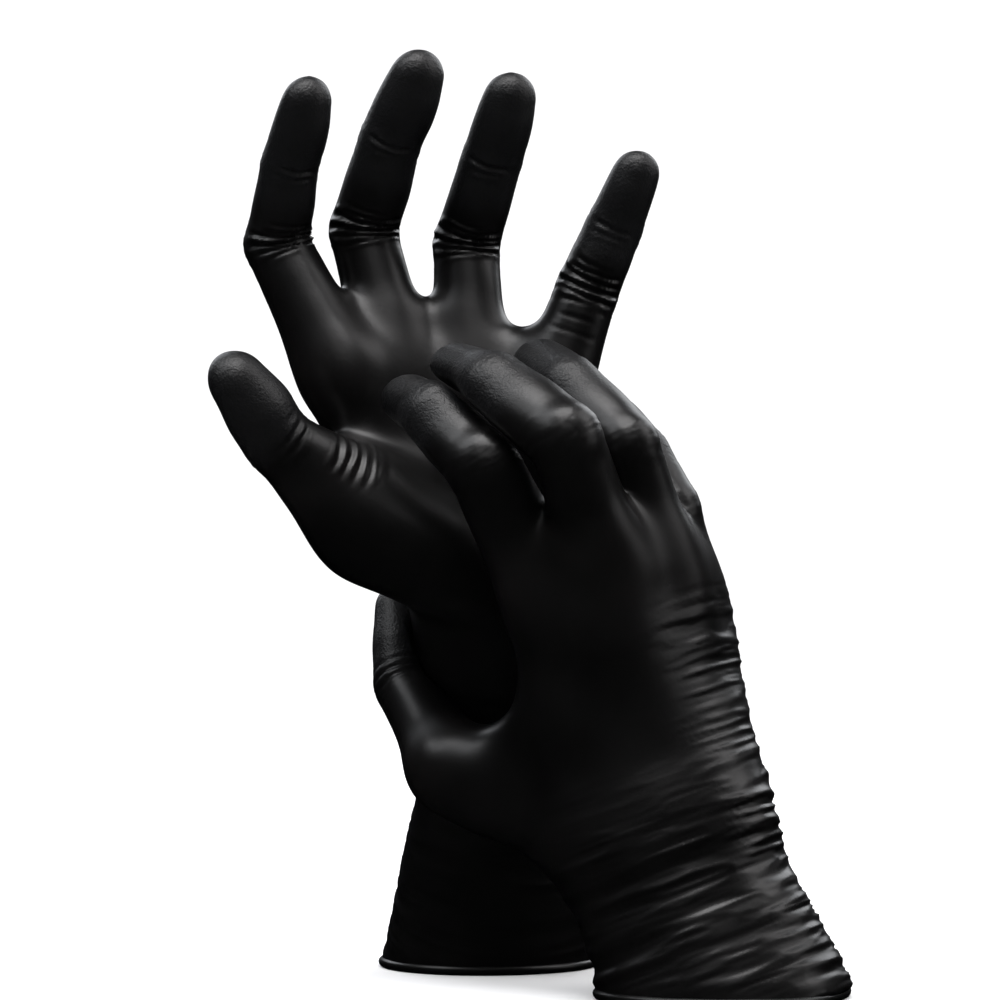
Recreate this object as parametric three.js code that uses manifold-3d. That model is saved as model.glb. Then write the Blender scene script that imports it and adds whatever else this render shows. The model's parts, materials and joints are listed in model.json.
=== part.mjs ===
// A pair of black dipped nitrile gloves in a worn, clasped pose, hollow and open at both cuffs.
// Millimetres, +Z up.  +X runs to the little-finger side of the upright left glove, +Y behind it.
// Both cuffs stand on rolled beads in the plane z = 0, with the origin mid-footprint.
//
// Each glove has one hand body, a forearm cuff, a rolled bead, three stall segments on each
// finger and two on the thumb.  Stall segments meet at the knuckles in round seats: the farther
// one carries a hollow ball, the nearer one a lip around it.  The first ball of each digit
// sits in a slot in the hand body.
import * as THREE from 'three';
import { mergeVertices } from 'three/addons/utils/BufferGeometryUtils.js';
import Module from 'manifold-3d';

const wasm = await Module();
wasm.setup();

// ---------- sizes: millimetres, and degrees for angles ----------
const STALL_FILM = 1.0; // wall of a stall
const HAND_FILM = 1.2; // wall of the hand body and the cuff
const SEAT_GAP = 0.6; // clearance between a ball and its lip
const LIP_ANGLE = 50; // from the bone axis to the edge of a lip
const NECK_ANGLE = 40; // from the bone axis to the neck of a ball
const BALL_MOUTH = 38; // from the bone axis to the edge of the opening in a ball

const STALL_FACETS = 10;
const ROD_FACETS = 12;
const CUFF_FACETS = 24;

const BEAD_HIGH = 3.0;
const BEAD_OUT = 1.3; // how far the bead stands out of the cuff
const BEAD_IN = 1.2; // how far it stands into the cuff
const BEAD_GAP = 0.3; // seam between bead and cuff
const CUFF_FLOOR = BEAD_HIGH + BEAD_GAP;

// Radii at: base, mid proximal, second knuckle, mid middle, third knuckle, pad, tip.
// The thumb has one segment fewer: base, mid proximal, second knuckle, pad, tip.
const DIGITS = {
  index: { baseBall: 8.0, radii: [8.9, 9.3, 9.7, 8.9, 8.6, 8.4, 7.1] },
  middle: { baseBall: 8.0, radii: [8.9, 9.3, 9.8, 9.0, 8.7, 8.4, 7.1] },
  ring: { baseBall: 7.7, radii: [8.5, 8.8, 9.3, 8.5, 8.2, 8.0, 6.9] },
  little: { baseBall: 7.2, radii: [7.9, 7.8, 8.1, 7.4, 7.2, 7.0, 6.2] },
  thumb: { baseBall: 9.0, radii: [10.6, 10.5, 10.8, 10.0, 8.2] },
};
const FINGER_SEGMENTS = ['proximal', 'middle', 'tip'];
const THUMB_SEGMENTS = ['proximal', 'tip'];
const RADIUS_FIT = 0.97; // built stall radius over the table radius
const STALL_WIDE = 1.05; // a stall is this much wider than deep
// Narrowing of a stall pressed against its neighbour, at the stations of DIGITS.
const PRESSED = [1, 1, 1, 1, 0.95, 0.82, 0.82];

// Rods that make up the hand body, as sections at their start and end.
// Columns: half width, half depth on local +Z, half depth on local -Z, length of the end cap.
const ROD_SECTIONS = {
  index: { start: [13.0, 17.0, 16.0, 12.0], end: [11.8, 12.4, 12.6, 12.4] },
  middle: { start: [13.0, 17.0, 16.0, 12.0], end: [12.0, 12.6, 12.8, 12.6] },
  ring: { start: [13.0, 17.0, 16.0, 12.0], end: [11.4, 12.0, 12.2, 12.0] },
  little: { start: [13.0, 17.0, 16.0, 12.0], end: [10.3, 10.9, 11.1, 10.9] },
  thumb: { start: [14.5, 14.0, 16.0, 12.0], end: [12.3, 11.8, 12.6, 12.2] },
  web: { start: [9.0, 9.0, 9.5, 9.0], end: [9.0, 9.5, 9.5, 9.0] },
  edge: { start: [10.5, 13.0, 14.5, 10.0], end: [9.0, 11.0, 12.0, 9.0] },
};

// The pose of each glove.
// digits: joints from the first knuckle to the fingertip, and the hinge direction.
// rods: a digit's rod ends at its first knuckle; the web of the thumb and the little-finger
//   edge of the palm have ends of their own.  across is the direction of a rod's width.
// swing: degrees a proximal stall may turn about its first knuckle, [backward, to the palm].
const GLOVES = {
  left: {
    digits: {
      index: {
        joints: [[-45.77, -9, 175.4], [-64.14, -0.5, 213.34],
          [-60.11, -10.96, 235.69], [-54.96, -22.66, 258.32]],
        hinge: [0.708, 0.68, 0.1905],
      },
      middle: {
        joints: [[-29.25, -1, 172.73], [-38.88, 8.01, 217.84],
          [-31.2, -2.12, 243.35], [-22.67, -13.15, 267.05]],
        hinge: [0.7573, 0.6523, 0.0312],
      },
      ring: {
        joints: [[-8.41, 1, 170.46], [-8.97, 10.93, 213.83],
          [-2.72, -0.07, 237.68], [4.07, -12.58, 260.63]],
        hinge: [0.9265, 0.3691, -0.0726],
      },
      little: {
        joints: [[14.16, -4, 166.87], [25.63, -1.86, 199.87],
          [32.47, -6.03, 217.65], [40.75, -13.61, 238.29]],
        hinge: [0.9359, 0.1158, -0.3328],
      },
      thumb: {
        joints: [[-40.68, -24, 139.13], [-63.51, -34, 155.22], [-80.48, -38, 178.24]],
        hinge: [0.1306, 0.7483, 0.6503],
      },
    },
    rods: {
      index: { start: [-0.79, 3.64, 98.34], across: [0.59, 0.6678, 0.4539] },
      middle: { start: [6.87, 6.09, 100.13], across: [0.6394, 0.6665, 0.3832] },
      ring: { start: [16.56, 10.14, 100.02], across: [0.8675, 0.3506, 0.353] },
      little: { start: [25.5, 14.62, 98.04], across: [0.9872, -0.0134, 0.1591] },
      thumb: { start: [-4.59, -13, 113.88], across: [0.5875, -0.0791, 0.8053] },
      web: {
        start: [-30.58, -20.92, 132.06],
        end: [-28.68, -4.2, 146.12],
        across: [-0.7349, -0.3855, 0.558],
      },
      edge: {
        start: [30.27, 13.56, 96.96],
        end: [21.03, 0.05, 148.85],
        across: [-0.9101, -0.3318, -0.2484],
      },
    },
    wrist: {
      centre: [10.24, 12, 88.82],
      up: [0.1425, -0.3159, 0.938],
      across: [-0.9227, -0.3853, 0.0104],
      halfWide: 26.5,
      halfDeep: 19.5,
    },
    rim: { centre: [-4.2, 44, -6.21], halfWide: 33.0, halfDeep: 31.0 },
    swing: { finger: [15, 35], thumb: [15, 25] },
    fingerScale: 1,
    pressedDigits: [],
  },
  right: {
    digits: {
      index: {
        joints: [[13.42, -46, 112.29], [-4.85, -60.77, 148.31],
          [-18.77, -47.42, 164.21], [-29.69, -24.82, 171.02]],
        hinge: [-0.8217, -0.2419, -0.516],
      },
      middle: {
        joints: [[30.38, -50, 118.51], [14.92, -70.14, 158.06],
          [-3.01, -54.09, 173.33], [-17.7, -31.41, 178.46]],
        hinge: [-0.7739, -0.3884, -0.5002],
      },
      ring: {
        joints: [[46.22, -36, 115.46], [32.23, -50.02, 155.31],
          [18.98, -33.38, 171.95], [7.23, -10.95, 181.32]],
        hinge: [-0.8684, -0.2856, -0.4054],
      },
      little: {
        joints: [[55.3, -15, 105.32], [48.95, -29, 136.76],
          [40.88, -21.5, 152.85], [30.73, -6.13, 167.45]],
        hinge: [-0.9018, -0.2966, -0.3142],
      },
      thumb: {
        joints: [[-14.25, -22, 62.76], [-26.73, 3, 85.67], [-29.75, 21, 112.62]],
        hinge: [0.5848, 0.6871, -0.4312],
      },
    },
    rods: {
      index: { start: [30.98, -44, 40.22], across: [-0.9359, -0.2621, -0.2354] },
      middle: { start: [39.53, -41.74, 45.3], across: [-0.8745, -0.4576, -0.161] },
      ring: { start: [49.24, -39.61, 48.68], across: [-0.9576, -0.2867, -0.0279] },
      little: { start: [57.34, -38.21, 49.39], across: [-0.9857, -0.1656, 0.0328] },
      thumb: { start: [23.96, -36, 48.38], across: [-0.4145, -0.2254, -0.8817] },
      web: {
        start: [-3.55, -25.92, 58.74],
        end: [20.09, -45.24, 84.9],
        across: [-0.6928, 0.1161, 0.7117],
      },
      edge: {
        start: [62.43, -34.07, 50.79],
        end: [59.17, -17.8, 92.23],
        across: [-0.9945, -0.0965, -0.0405],
      },
    },
    wrist: {
      centre: [48.81, -42, 35.91],
      up: [-0.3489, 0.1149, 0.9301],
      across: [-0.9248, -0.2031, -0.3218],
      halfWide: 29.0,
      halfDeep: 21.0,
    },
    rim: { centre: [60.95, -46, 3.53], halfWide: 36.0, halfDeep: 30.0 },
    swing: { finger: [35, 10], thumb: [25, 10] },
    fingerScale: 0.94,
    pressedDigits: ['index', 'middle'], // clasping side by side
  },
};

// ---------- helpers ----------
const { clamp, degToRad, lerp } = THREE.MathUtils;
const vector = (coordinates) => new THREE.Vector3(...coordinates);
const point = (x, y) => new THREE.Vector2(x, y);

// Frame at origin with local Y along `along` and local X, scaled by stretch, close to `across`.
function frame(origin, along, across, stretch = 1) {
  const y = along.clone().normalize();
  const x = across.clone().addScaledVector(y, -across.dot(y)).normalize();
  const z = new THREE.Vector3().crossVectors(x, y);
  return new THREE.Matrix4().makeBasis(x.multiplyScalar(stretch), y, z).setPosition(origin);
}

// Solid from a closed geometry, turned right side out where its faces point inward.
function toManifold(geometry) {
  geometry.deleteAttribute('normal');
  geometry.deleteAttribute('uv');
  const merged = mergeVertices(geometry, 1e-4);
  const vertProperties = new Float32Array(merged.attributes.position.array);
  const indices = merged.index.array;
  const solid = (flipped) => {
    const triangles = [];
    for (let i = 0; i < indices.length; i += 3) {
      const [a, b, c] = indices.slice(i, i + 3);
      if (a === b || b === c || c === a) continue;
      triangles.push(a, ...(flipped ? [c, b] : [b, c]));
    }
    const triVerts = new Uint32Array(triangles);
    return new wasm.Manifold(new wasm.Mesh({ numProp: 3, vertProperties, triVerts }));
  };
  const body = solid(false);
  return body.volume() < 0 ? solid(true) : body;
}

function toGeometry(body) {
  const mesh = body.getMesh();
  const geometry = new THREE.BufferGeometry();
  const positions = new Float32Array(mesh.vertProperties);
  geometry.setAttribute('position', new THREE.BufferAttribute(positions, 3));
  geometry.setIndex(new THREE.BufferAttribute(new Uint32Array(mesh.triVerts), 1));
  return geometry;
}

// Largest connected piece of a body.
function largest(body) {
  return body.decompose().reduce((best, part) => (part.volume() > best.volume() ? part : best));
}

// Box that fills the side of a plane its normal points to.
function halfSpace(origin, normal) {
  const size = 400;
  const box = new THREE.BoxGeometry(size, size, size);
  box.translate(0, size / 2, 0);
  box.applyMatrix4(frame(origin, normal, vector([1, 0, 0])));
  return toManifold(box);
}

// Polyline moved by distance to its left-hand side: for a lathe profile that runs toward +Y,
// toward the axis.  Corners are mitred, up to a limit.
function offset(points, distance) {
  const smallestCosine = 0.6;
  const normals = points.slice(1).map((next, i) => (
    point(next.y - points[i].y, points[i].x - next.x).normalize()
  ));
  return points.map((corner, i) => {
    const before = normals[Math.max(i - 1, 0)];
    const after = normals[Math.min(i, normals.length - 1)];
    const normal = before.clone().add(after).normalize();
    const cosine = Math.max(normal.dot(before), smallestCosine);
    return corner.clone().addScaledVector(normal, -distance / cosine);
  });
}

// Profile point on a circle centred on the axis, at degrees from the axis direction `side`.
function onCircle(radius, degrees, centreY, side) {
  const angle = degToRad(degrees);
  return point(radius * Math.sin(angle), centreY + side * radius * Math.cos(angle));
}

// ---------- stalls ----------
// Profile from the knuckle at y = 0 to the next knuckle, or the closed tip, at y = length.
function stallProfile({ length, ball, near, mid, far, closed }) {
  const outer = [
    ...[BALL_MOUTH, 72, 106, 180 - NECK_ANGLE].map((angle) => onCircle(ball, angle, 0, -1)),
    // shoulder that widens into the stall without leaving the neck cone
    onCircle(near, NECK_ANGLE, 0, 1),
    point(near * 0.93, near * 1.2),
    point(mid, length * 0.5 + near * 0.1),
  ];
  if (closed) {
    outer.push(
      point(mid, Math.max(length * 0.62, length - far * 2.1)),
      ...[80, 52, 24].map((angle) => onCircle(far, angle, length - far, 1)),
      point(0, length),
    );
  } else {
    outer.push(
      point(far * 0.94, length - far * 1.05),
      onCircle(far, LIP_ANGLE, length, -1),
    );
  }
  const inner = offset(outer, STALL_FILM).reverse();
  if (closed) {
    inner[0] = point(0, length - STALL_FILM);
    return [...inner, ...outer];
  }
  inner[0] = onCircle(far - STALL_FILM, LIP_ANGLE, length, -1);
  return [...outer, ...inner, outer[0].clone()];
}

function stall(start, end, hinge, spec) {
  const profile = stallProfile({ length: start.distanceTo(end), ...spec });
  const lathe = new THREE.LatheGeometry(profile, STALL_FACETS);
  lathe.applyMatrix4(frame(start, end.clone().sub(start), hinge, STALL_WIDE));
  return toManifold(lathe);
}

// All stall segments of one digit, as [name, body].
function digitStalls(glove, digit) {
  const { baseBall, radii: tableRadii } = DIGITS[digit];
  const joints = glove.digits[digit].joints.map(vector);
  const hinge = vector(glove.digits[digit].hinge);
  const isThumb = digit === 'thumb';
  const pressed = glove.pressedDigits.includes(digit);
  const scale = isThumb ? 1 : glove.fingerScale;
  const radii = tableRadii.map((radius, i) => (
    radius * RADIUS_FIT * scale * (pressed ? PRESSED[i] : 1)
  ));
  const segments = isThumb ? THUMB_SEGMENTS : FINGER_SEGMENTS;
  return segments.map((segment, i) => {
    const [near, mid, far] = radii.slice(2 * i, 2 * i + 3);
    const ball = i === 0 ? baseBall : near - STALL_FILM - SEAT_GAP;
    const spec = { ball, near, mid, far, closed: segment === 'tip' };
    return [`${digit}_${segment}`, stall(joints[i], joints[i + 1], hinge, spec)];
  });
}

// ---------- hand body ----------
const COLLAR_DROP = 0.17; // wrist opening below the wrist centre, over the wrist's half depth
const SLOT_REACH = 26;
const SLOT_SIDE_GAP = 1.1;
const SLOT_SWING_GAP = 6; // degrees
const SLOT_STEPS = 6;

// Rounded rod between two sections; growth thickens it all round.
function rod(start, end, across, sections, growth) {
  const length = start.distanceTo(end);
  const startSizes = sections.start.map((size) => size + growth);
  const endSizes = sections.end.map((size) => size + growth);
  const cap = (size, degrees, centreY, side) => {
    const angle = degToRad(degrees);
    return point(Math.sin(angle), centreY + side * size * Math.cos(angle));
  };
  const profile = [
    cap(startSizes[3], 0, 0, -1),
    cap(startSizes[3], 45, 0, -1),
    point(1, 0),
    point(1, length),
    cap(endSizes[3], 45, length, 1),
    cap(endSizes[3], 0, length, 1),
  ];
  const lathe = new THREE.LatheGeometry(profile, ROD_FACETS);
  const positions = lathe.attributes.position;
  for (let i = 0; i < positions.count; i += 1) {
    const t = clamp(positions.getY(i) / length, 0, 1);
    const [wide, deepPlus, deepMinus] = startSizes.map((size, k) => lerp(size, endSizes[k], t));
    const z = positions.getZ(i);
    positions.setX(i, positions.getX(i) * wide);
    positions.setZ(i, z * (z > 0 ? deepPlus : deepMinus));
  }
  lathe.applyMatrix4(frame(start, end.clone().sub(start), across));
  return toManifold(lathe);
}

// Round in depth and height, stretched across the wrist.
function wristSpheroid({ centre, up, across, halfWide, halfDeep }, growth) {
  const sphere = new THREE.SphereGeometry(halfDeep + growth, 24, 12);
  sphere.applyMatrix4(frame(vector(centre), vector(up), vector(across), halfWide / halfDeep));
  return toManifold(sphere);
}

function handSolid(glove, growth) {
  const rods = Object.entries(ROD_SECTIONS).map(([name, sections]) => {
    const { start, end = glove.digits[name].joints[0], across } = glove.rods[name];
    return rod(vector(start), vector(end), vector(across), sections, growth);
  });
  return [...rods, wristSpheroid(glove.wrist, growth)].reduce((sum, body) => sum.add(body));
}

// Sector about the first knuckle that the proximal stall of a digit sweeps.
function swingSlot(glove, digit) {
  const [centre, next] = glove.digits[digit].joints.map(vector);
  const [backward, toPalm] = glove.swing[digit === 'thumb' ? 'thumb' : 'finger'];
  const from = -(NECK_ANGLE + backward + SLOT_SWING_GAP);
  const to = NECK_ANGLE + toPalm + SLOT_SWING_GAP;
  const halfWidth = DIGITS[digit].radii[0] * STALL_WIDE + SLOT_SIDE_GAP;

  const sector = new THREE.Shape();
  sector.moveTo(0, 0);
  for (let i = 0; i <= SLOT_STEPS; i += 1) {
    const angle = degToRad(from + ((to - from) * i) / SLOT_STEPS);
    sector.lineTo(Math.sin(angle) * SLOT_REACH, Math.cos(angle) * SLOT_REACH);
  }
  sector.closePath();
  const slot = new THREE.ExtrudeGeometry(sector, { depth: 2 * halfWidth, bevelEnabled: false });
  slot.translate(0, 0, -halfWidth);
  // local X to the palm, Y along the bone, Z along the hinge
  const bone = next.clone().sub(centre);
  const palmward = vector(glove.digits[digit].hinge).cross(bone);
  slot.applyMatrix4(frame(centre, bone, palmward));
  return toManifold(slot);
}

function handBody(glove) {
  const { centre, up, halfDeep } = glove.wrist;
  const down = vector(up).negate();
  const collar = vector(centre).addScaledVector(down, halfDeep * COLLAR_DROP);
  let hand = handSolid(glove, 0).subtract(handSolid(glove, -HAND_FILM));
  hand = hand.subtract(halfSpace(collar, down));
  for (const digit of Object.keys(DIGITS)) hand = hand.subtract(swingSlot(glove, digit));
  return largest(hand);
}

// ---------- cuff and bead ----------
const DOME_EXTRA_GAP = 0.1; // added to SEAT_GAP around the cuff's dome
const DOME_ANGLES = [52, 70, 88, 104, 118]; // from the hand end of the axis
const NECK_DROP_ANGLE = 60; // sets the neck's height on the dome
const SHOULDER_DROP = 4.5; // below the neck
const SLEEVE_DROP = 7.5; // below the neck
const SLEEVE_OVERRUN = 14; // past the rim centre, before the level cut

// A dome seated in the wrist end of the hand body, a neck, then the sleeve down to the bead.
function cuffBody({ wrist, rim }) {
  const wristCentre = vector(wrist.centre);
  const axis = vector(wrist.up).negate();
  const rimDrop = vector(rim.centre).sub(wristCentre).dot(axis);
  const domeRadius = wrist.halfDeep - HAND_FILM - SEAT_GAP - DOME_EXTRA_GAP;
  const topRadius = wrist.halfDeep * 0.99;
  const sleeveRadius = topRadius * 1.02;
  const neckY = domeRadius * Math.cos(degToRad(NECK_DROP_ANGLE));
  const shoulderY = neckY + SHOULDER_DROP;
  const sleeveY = neckY + SLEEVE_DROP;
  const endY = rimDrop + SLEEVE_OVERRUN;

  const outer = [
    ...DOME_ANGLES.map((angle) => onCircle(domeRadius, angle, 0, -1)),
    point(topRadius * 0.985, shoulderY),
    ...[0, 0.33, 0.66, 1].map((t) => (
      point(lerp(sleeveRadius, rim.halfDeep, t), lerp(sleeveY, endY, t))
    )),
  ];
  const inner = offset(outer, HAND_FILM).reverse();
  const sleeve = new THREE.LatheGeometry([...outer, ...inner, outer[0].clone()], CUFF_FACETS);

  // ease from the wrist's proportion to the rim's, and lean the sleeve over the rim's centre
  const placement = frame(wristCentre, axis, vector(wrist.across));
  const lean = vector(rim.centre).applyMatrix4(placement.clone().invert());
  const wristStretch = wrist.halfWide / wrist.halfDeep;
  const rimStretch = rim.halfWide / rim.halfDeep;
  const positions = sleeve.attributes.position;
  for (let i = 0; i < positions.count; i += 1) {
    const t = clamp((positions.getY(i) - shoulderY) / (rimDrop - shoulderY), 0, 1.2);
    const stretch = lerp(wristStretch, rimStretch, Math.min(t, 1));
    positions.setX(i, positions.getX(i) * stretch + lean.x * t);
    positions.setZ(i, positions.getZ(i) + lean.z * t);
  }
  sleeve.applyMatrix4(placement);
  const below = halfSpace(vector([0, 0, CUFF_FLOOR]), vector([0, 0, -1]));
  return largest(toManifold(sleeve).subtract(below));
}

// Flat-bottomed elliptical ring, sized from the lowest slice of the cuff.
function beadBody(cuff) {
  const sliceHigh = 0.6;
  const { min, max } = cuff.trimByPlane([0, 0, -1], -(CUFF_FLOOR + sliceHigh)).boundingBox();
  const addEllipse = (path, growth, clockwise) => path.absellipse(
    (min[0] + max[0]) / 2,
    (min[1] + max[1]) / 2,
    (max[0] - min[0]) / 2 + growth,
    (max[1] - min[1]) / 2 + growth,
    0,
    Math.PI * 2,
    clockwise,
  );
  const ring = new THREE.Shape();
  addEllipse(ring, BEAD_OUT, false);
  const hole = new THREE.Path();
  addEllipse(hole, -HAND_FILM - BEAD_IN, true);
  ring.holes.push(hole);
  return toManifold(new THREE.ExtrudeGeometry(ring, {
    depth: BEAD_HIGH,
    bevelEnabled: false,
    curveSegments: 16,
  }));
}

// ---------- materials ----------
const nitrile = () => new THREE.MeshStandardMaterial({
  name: 'nitrile',
  color: 0x0e0e10,
  roughness: 0.45,
  metalness: 0,
});

// rougher surface of the fingertips
const nitrileGrain = () => new THREE.MeshStandardMaterial({
  name: 'nitrile_grain',
  color: 0x131416,
  roughness: 0.62,
  metalness: 0,
});

// ---------- assembly ----------
// Pieces of one glove, as [name, body].
function glovePieces(glove) {
  const cuff = cuffBody(glove);
  return [
    ['hand_body', handBody(glove)],
    ...Object.keys(DIGITS).flatMap((digit) => digitStalls(glove, digit)),
    ['cuff', cuff],
    ['bead', beadBody(cuff)],
  ];
}

// Move that puts the middle of the pair's footprint at the origin, on the ground.
function centringShift(bodies) {
  const bounds = new THREE.Box3();
  for (const body of bodies) {
    const { min, max } = body.boundingBox();
    bounds.expandByPoint(vector(min));
    bounds.expandByPoint(vector(max));
  }
  const { min, max } = bounds;
  return [-(min.x + max.x) / 2, -(min.y + max.y) / 2, -min.z];
}

const gloves = Object.entries(GLOVES).map(([side, glove]) => [side, glovePieces(glove)]);
const shift = centringShift(gloves.flatMap(([, pieces]) => pieces.map(([, body]) => body)));

const group = new THREE.Group();
group.name = 'nitrile_glove_pair';
group.userData.shift = shift;
for (const [side, pieces] of gloves) {
  const gloveGroup = new THREE.Group();
  gloveGroup.name = `${side}_glove`;
  for (const [name, body] of pieces) {
    const material = name.endsWith('_tip') ? nitrileGrain() : nitrile();
    const mesh = new THREE.Mesh(toGeometry(body.translate(shift)), material);
    mesh.name = `${side}_${name}`;
    gloveGroup.add(mesh);
  }
  group.add(gloveGroup);
}

export default group;
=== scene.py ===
"""A pair of black nitrile disposable gloves in a worn, clasped pose.

The cuffs stand on the floor, +Z runs up the forearms and the camera looks along +Y. The left
fingers point up and the right fingers bend over toward them. Each glove is one surface wrapped
round a skeleton of tapered rods, creased where the film folds, then parted at the knuckles into
pieces. Shapes are worked out in mm and turned into metres when a mesh is made.
"""
import json
import math
from collections import namedtuple
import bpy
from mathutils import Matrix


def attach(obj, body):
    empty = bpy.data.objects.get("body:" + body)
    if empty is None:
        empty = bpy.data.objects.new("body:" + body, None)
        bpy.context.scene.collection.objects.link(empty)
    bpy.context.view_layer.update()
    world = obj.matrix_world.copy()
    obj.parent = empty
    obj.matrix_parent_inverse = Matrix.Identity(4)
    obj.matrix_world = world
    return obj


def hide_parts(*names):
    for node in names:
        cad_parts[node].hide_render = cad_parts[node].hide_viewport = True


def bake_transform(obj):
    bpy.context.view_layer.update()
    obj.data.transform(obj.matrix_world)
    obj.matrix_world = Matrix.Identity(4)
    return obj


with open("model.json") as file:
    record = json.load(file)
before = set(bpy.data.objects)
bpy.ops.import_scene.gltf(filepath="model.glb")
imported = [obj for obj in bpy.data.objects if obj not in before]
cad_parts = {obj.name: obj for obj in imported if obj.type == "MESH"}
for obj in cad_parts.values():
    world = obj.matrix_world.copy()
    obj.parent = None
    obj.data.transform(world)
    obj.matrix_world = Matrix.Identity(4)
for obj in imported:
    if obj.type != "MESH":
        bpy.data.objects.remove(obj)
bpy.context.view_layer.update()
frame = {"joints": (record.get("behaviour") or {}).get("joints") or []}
from types import SimpleNamespace
import bpy
import numpy as np
from mathutils import Vector

# ---------------------------------------------------------------- the film, in mm
CELL = 0.68   # between points of the film
FILM_DEPTH = 0.9                     # from the smooth outside to the inside of the film
CUFF_END = 1.4                       # height of the lower edge of the film
EASE_ALL, EASE_HAND = 2.1, 3.2       # how far the surface is smoothed, everywhere and on the hand
STALL_GAP = {"left": 0.55, "right": 0.8}   # how far a finger stays off the plane to the next
GLOVE_GAP = 0.5                      # the right glove stays this far off the left one

# ---------------------------------------------------------------- the skeleton, in mm
FINGERS = ("index", "middle", "ring", "little")
DIGITS = FINGERS + ("thumb",)

# joints: base knuckle, second knuckle, third knuckle, tip (the thumb has one knuckle less)
# across: direction over the width of each digit
# thumb_root: where the ball of the thumb starts;  wrist, rim: the line of the forearm
# thumbward, palmward: directions over the width of the hand and out of the palm
# palm_starts: place across the wrist where the ray to each finger starts, thumbward
# web_reach: from the base knuckles to the web between neighbours
# web_depth: half depth of a web at its ends and middle
# web_fill: swell of the film between the base knuckles, and a step behind them
# border: thumbward shift of the little-finger border at its heel and at its top
# little_ray: half width at the middle of the little finger's ray
# cuff: half width and half depth at the wrist, then at the rim
SKELETON = {
    "left": dict(
        joints=dict(
            index=[(-45.77, -9.0, 175.4), (-64.14, -0.5, 213.34),
                   (-60.11, -10.96, 235.69), (-54.96, -22.66, 258.32)],
            middle=[(-29.25, -1.0, 172.73), (-38.88, 8.01, 217.84),
                    (-31.2, -2.12, 243.35), (-22.67, -13.15, 267.05)],
            ring=[(-8.41, 1.0, 170.46), (-8.97, 10.93, 213.83),
                  (-2.72, -0.07, 237.68), (4.07, -12.58, 260.63)],
            little=[(14.16, -4.0, 166.87), (25.63, -1.86, 199.87),
                    (32.47, -6.03, 217.65), (40.75, -13.61, 238.29)],
            thumb=[(-40.68, -24.0, 139.13), (-63.51, -34.0, 155.22), (-80.48, -38.0, 178.24)]),
        across=dict(
            index=(0.708, 0.68, 0.1905), middle=(0.7573, 0.6523, 0.0312),
            ring=(0.9265, 0.3691, -0.0726), little=(0.9359, 0.1158, -0.3328),
            thumb=(0.1306, 0.7483, 0.6503)),
        thumb_root=(-4.59, -13.0, 113.88),
        wrist=(10.24, 12.0, 88.82), rim=(-4.2, 44.0, -6.21),
        thumbward=(-0.9227, -0.3853, 0.0104), palmward=(0.3581, -0.867, -0.3464),
        palm_starts=dict(index=13.5, middle=5.5, ring=-5, little=-15),
        web_reach=(18.5, 20.0, 15.5), web_depth=(8.5, 7.0), web_fill=(0.2, 0.8),
        border=(-19, -2.5), little_ray=12.5, cuff=(29.5, 19.5, 33.0, 31.0)),
    "right": dict(
        joints=dict(
            index=[(13.42, -46.0, 112.29), (-4.85, -60.77, 148.31),
                   (-18.77, -47.42, 164.21), (-29.69, -24.82, 171.02)],
            middle=[(30.38, -50.0, 118.51), (14.92, -70.14, 158.06),
                    (-3.01, -54.09, 173.33), (-17.7, -31.41, 178.46)],
            ring=[(46.22, -36.0, 115.46), (32.23, -50.02, 155.31),
                  (18.98, -33.38, 171.95), (7.23, -10.95, 181.32)],
            little=[(55.3, -15.0, 105.32), (48.95, -29.0, 136.76),
                    (40.88, -21.5, 152.85), (30.73, -6.13, 167.45)],
            thumb=[(-14.25, -22.0, 62.76), (-26.73, 3.0, 85.67), (-29.75, 21.0, 112.62)]),
        across=dict(
            index=(-0.8217, -0.2419, -0.516), middle=(-0.7739, -0.3884, -0.5002),
            ring=(-0.8684, -0.2856, -0.4054), little=(-0.9018, -0.2966, -0.3142),
            thumb=(0.5848, 0.6871, -0.4312)),
        thumb_root=(23.96, -36.0, 48.38),
        wrist=(48.81, -42.0, 35.91), rim=(60.95, -46.0, 3.53),
        thumbward=(-0.9248, -0.2031, -0.3218), palmward=(-0.152, 0.9724, -0.1771),
        palm_starts=dict(index=15.5, middle=5.5, ring=-5, little=-13),
        web_reach=(16.5, 16.0, 15.0), web_depth=(9.0, 8.5), web_fill=(0.2, 0.6),
        border=(-17.5, 1.5), little_ray=10.5, cuff=(29.0, 21.0, 36.0, 30.0)),
}

# half widths: base knuckle, mid proximal, second knuckle, mid middle, third knuckle, pad, tip
FINGER_WIDTHS = dict(
    index=(11.0, 10.4, 9.5, 9.2, 8.6, 8.9, 8.0), middle=(10.8, 10.3, 10.0, 10.1, 9.4, 9.7, 8.7),
    ring=(10.5, 10.1, 9.7, 9.4, 8.8, 9.0, 8.1), little=(9.9, 10.0, 9.2, 9.0, 8.2, 7.9, 7.2))
# half widths: base, mid proximal, knuckle, pad, tip
THUMB_WIDTHS = (13.5, 11.5, 10.7, 11.3, 9.9)
THUMB_SCALE = {"left": 1.0, "right": .93}
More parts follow.
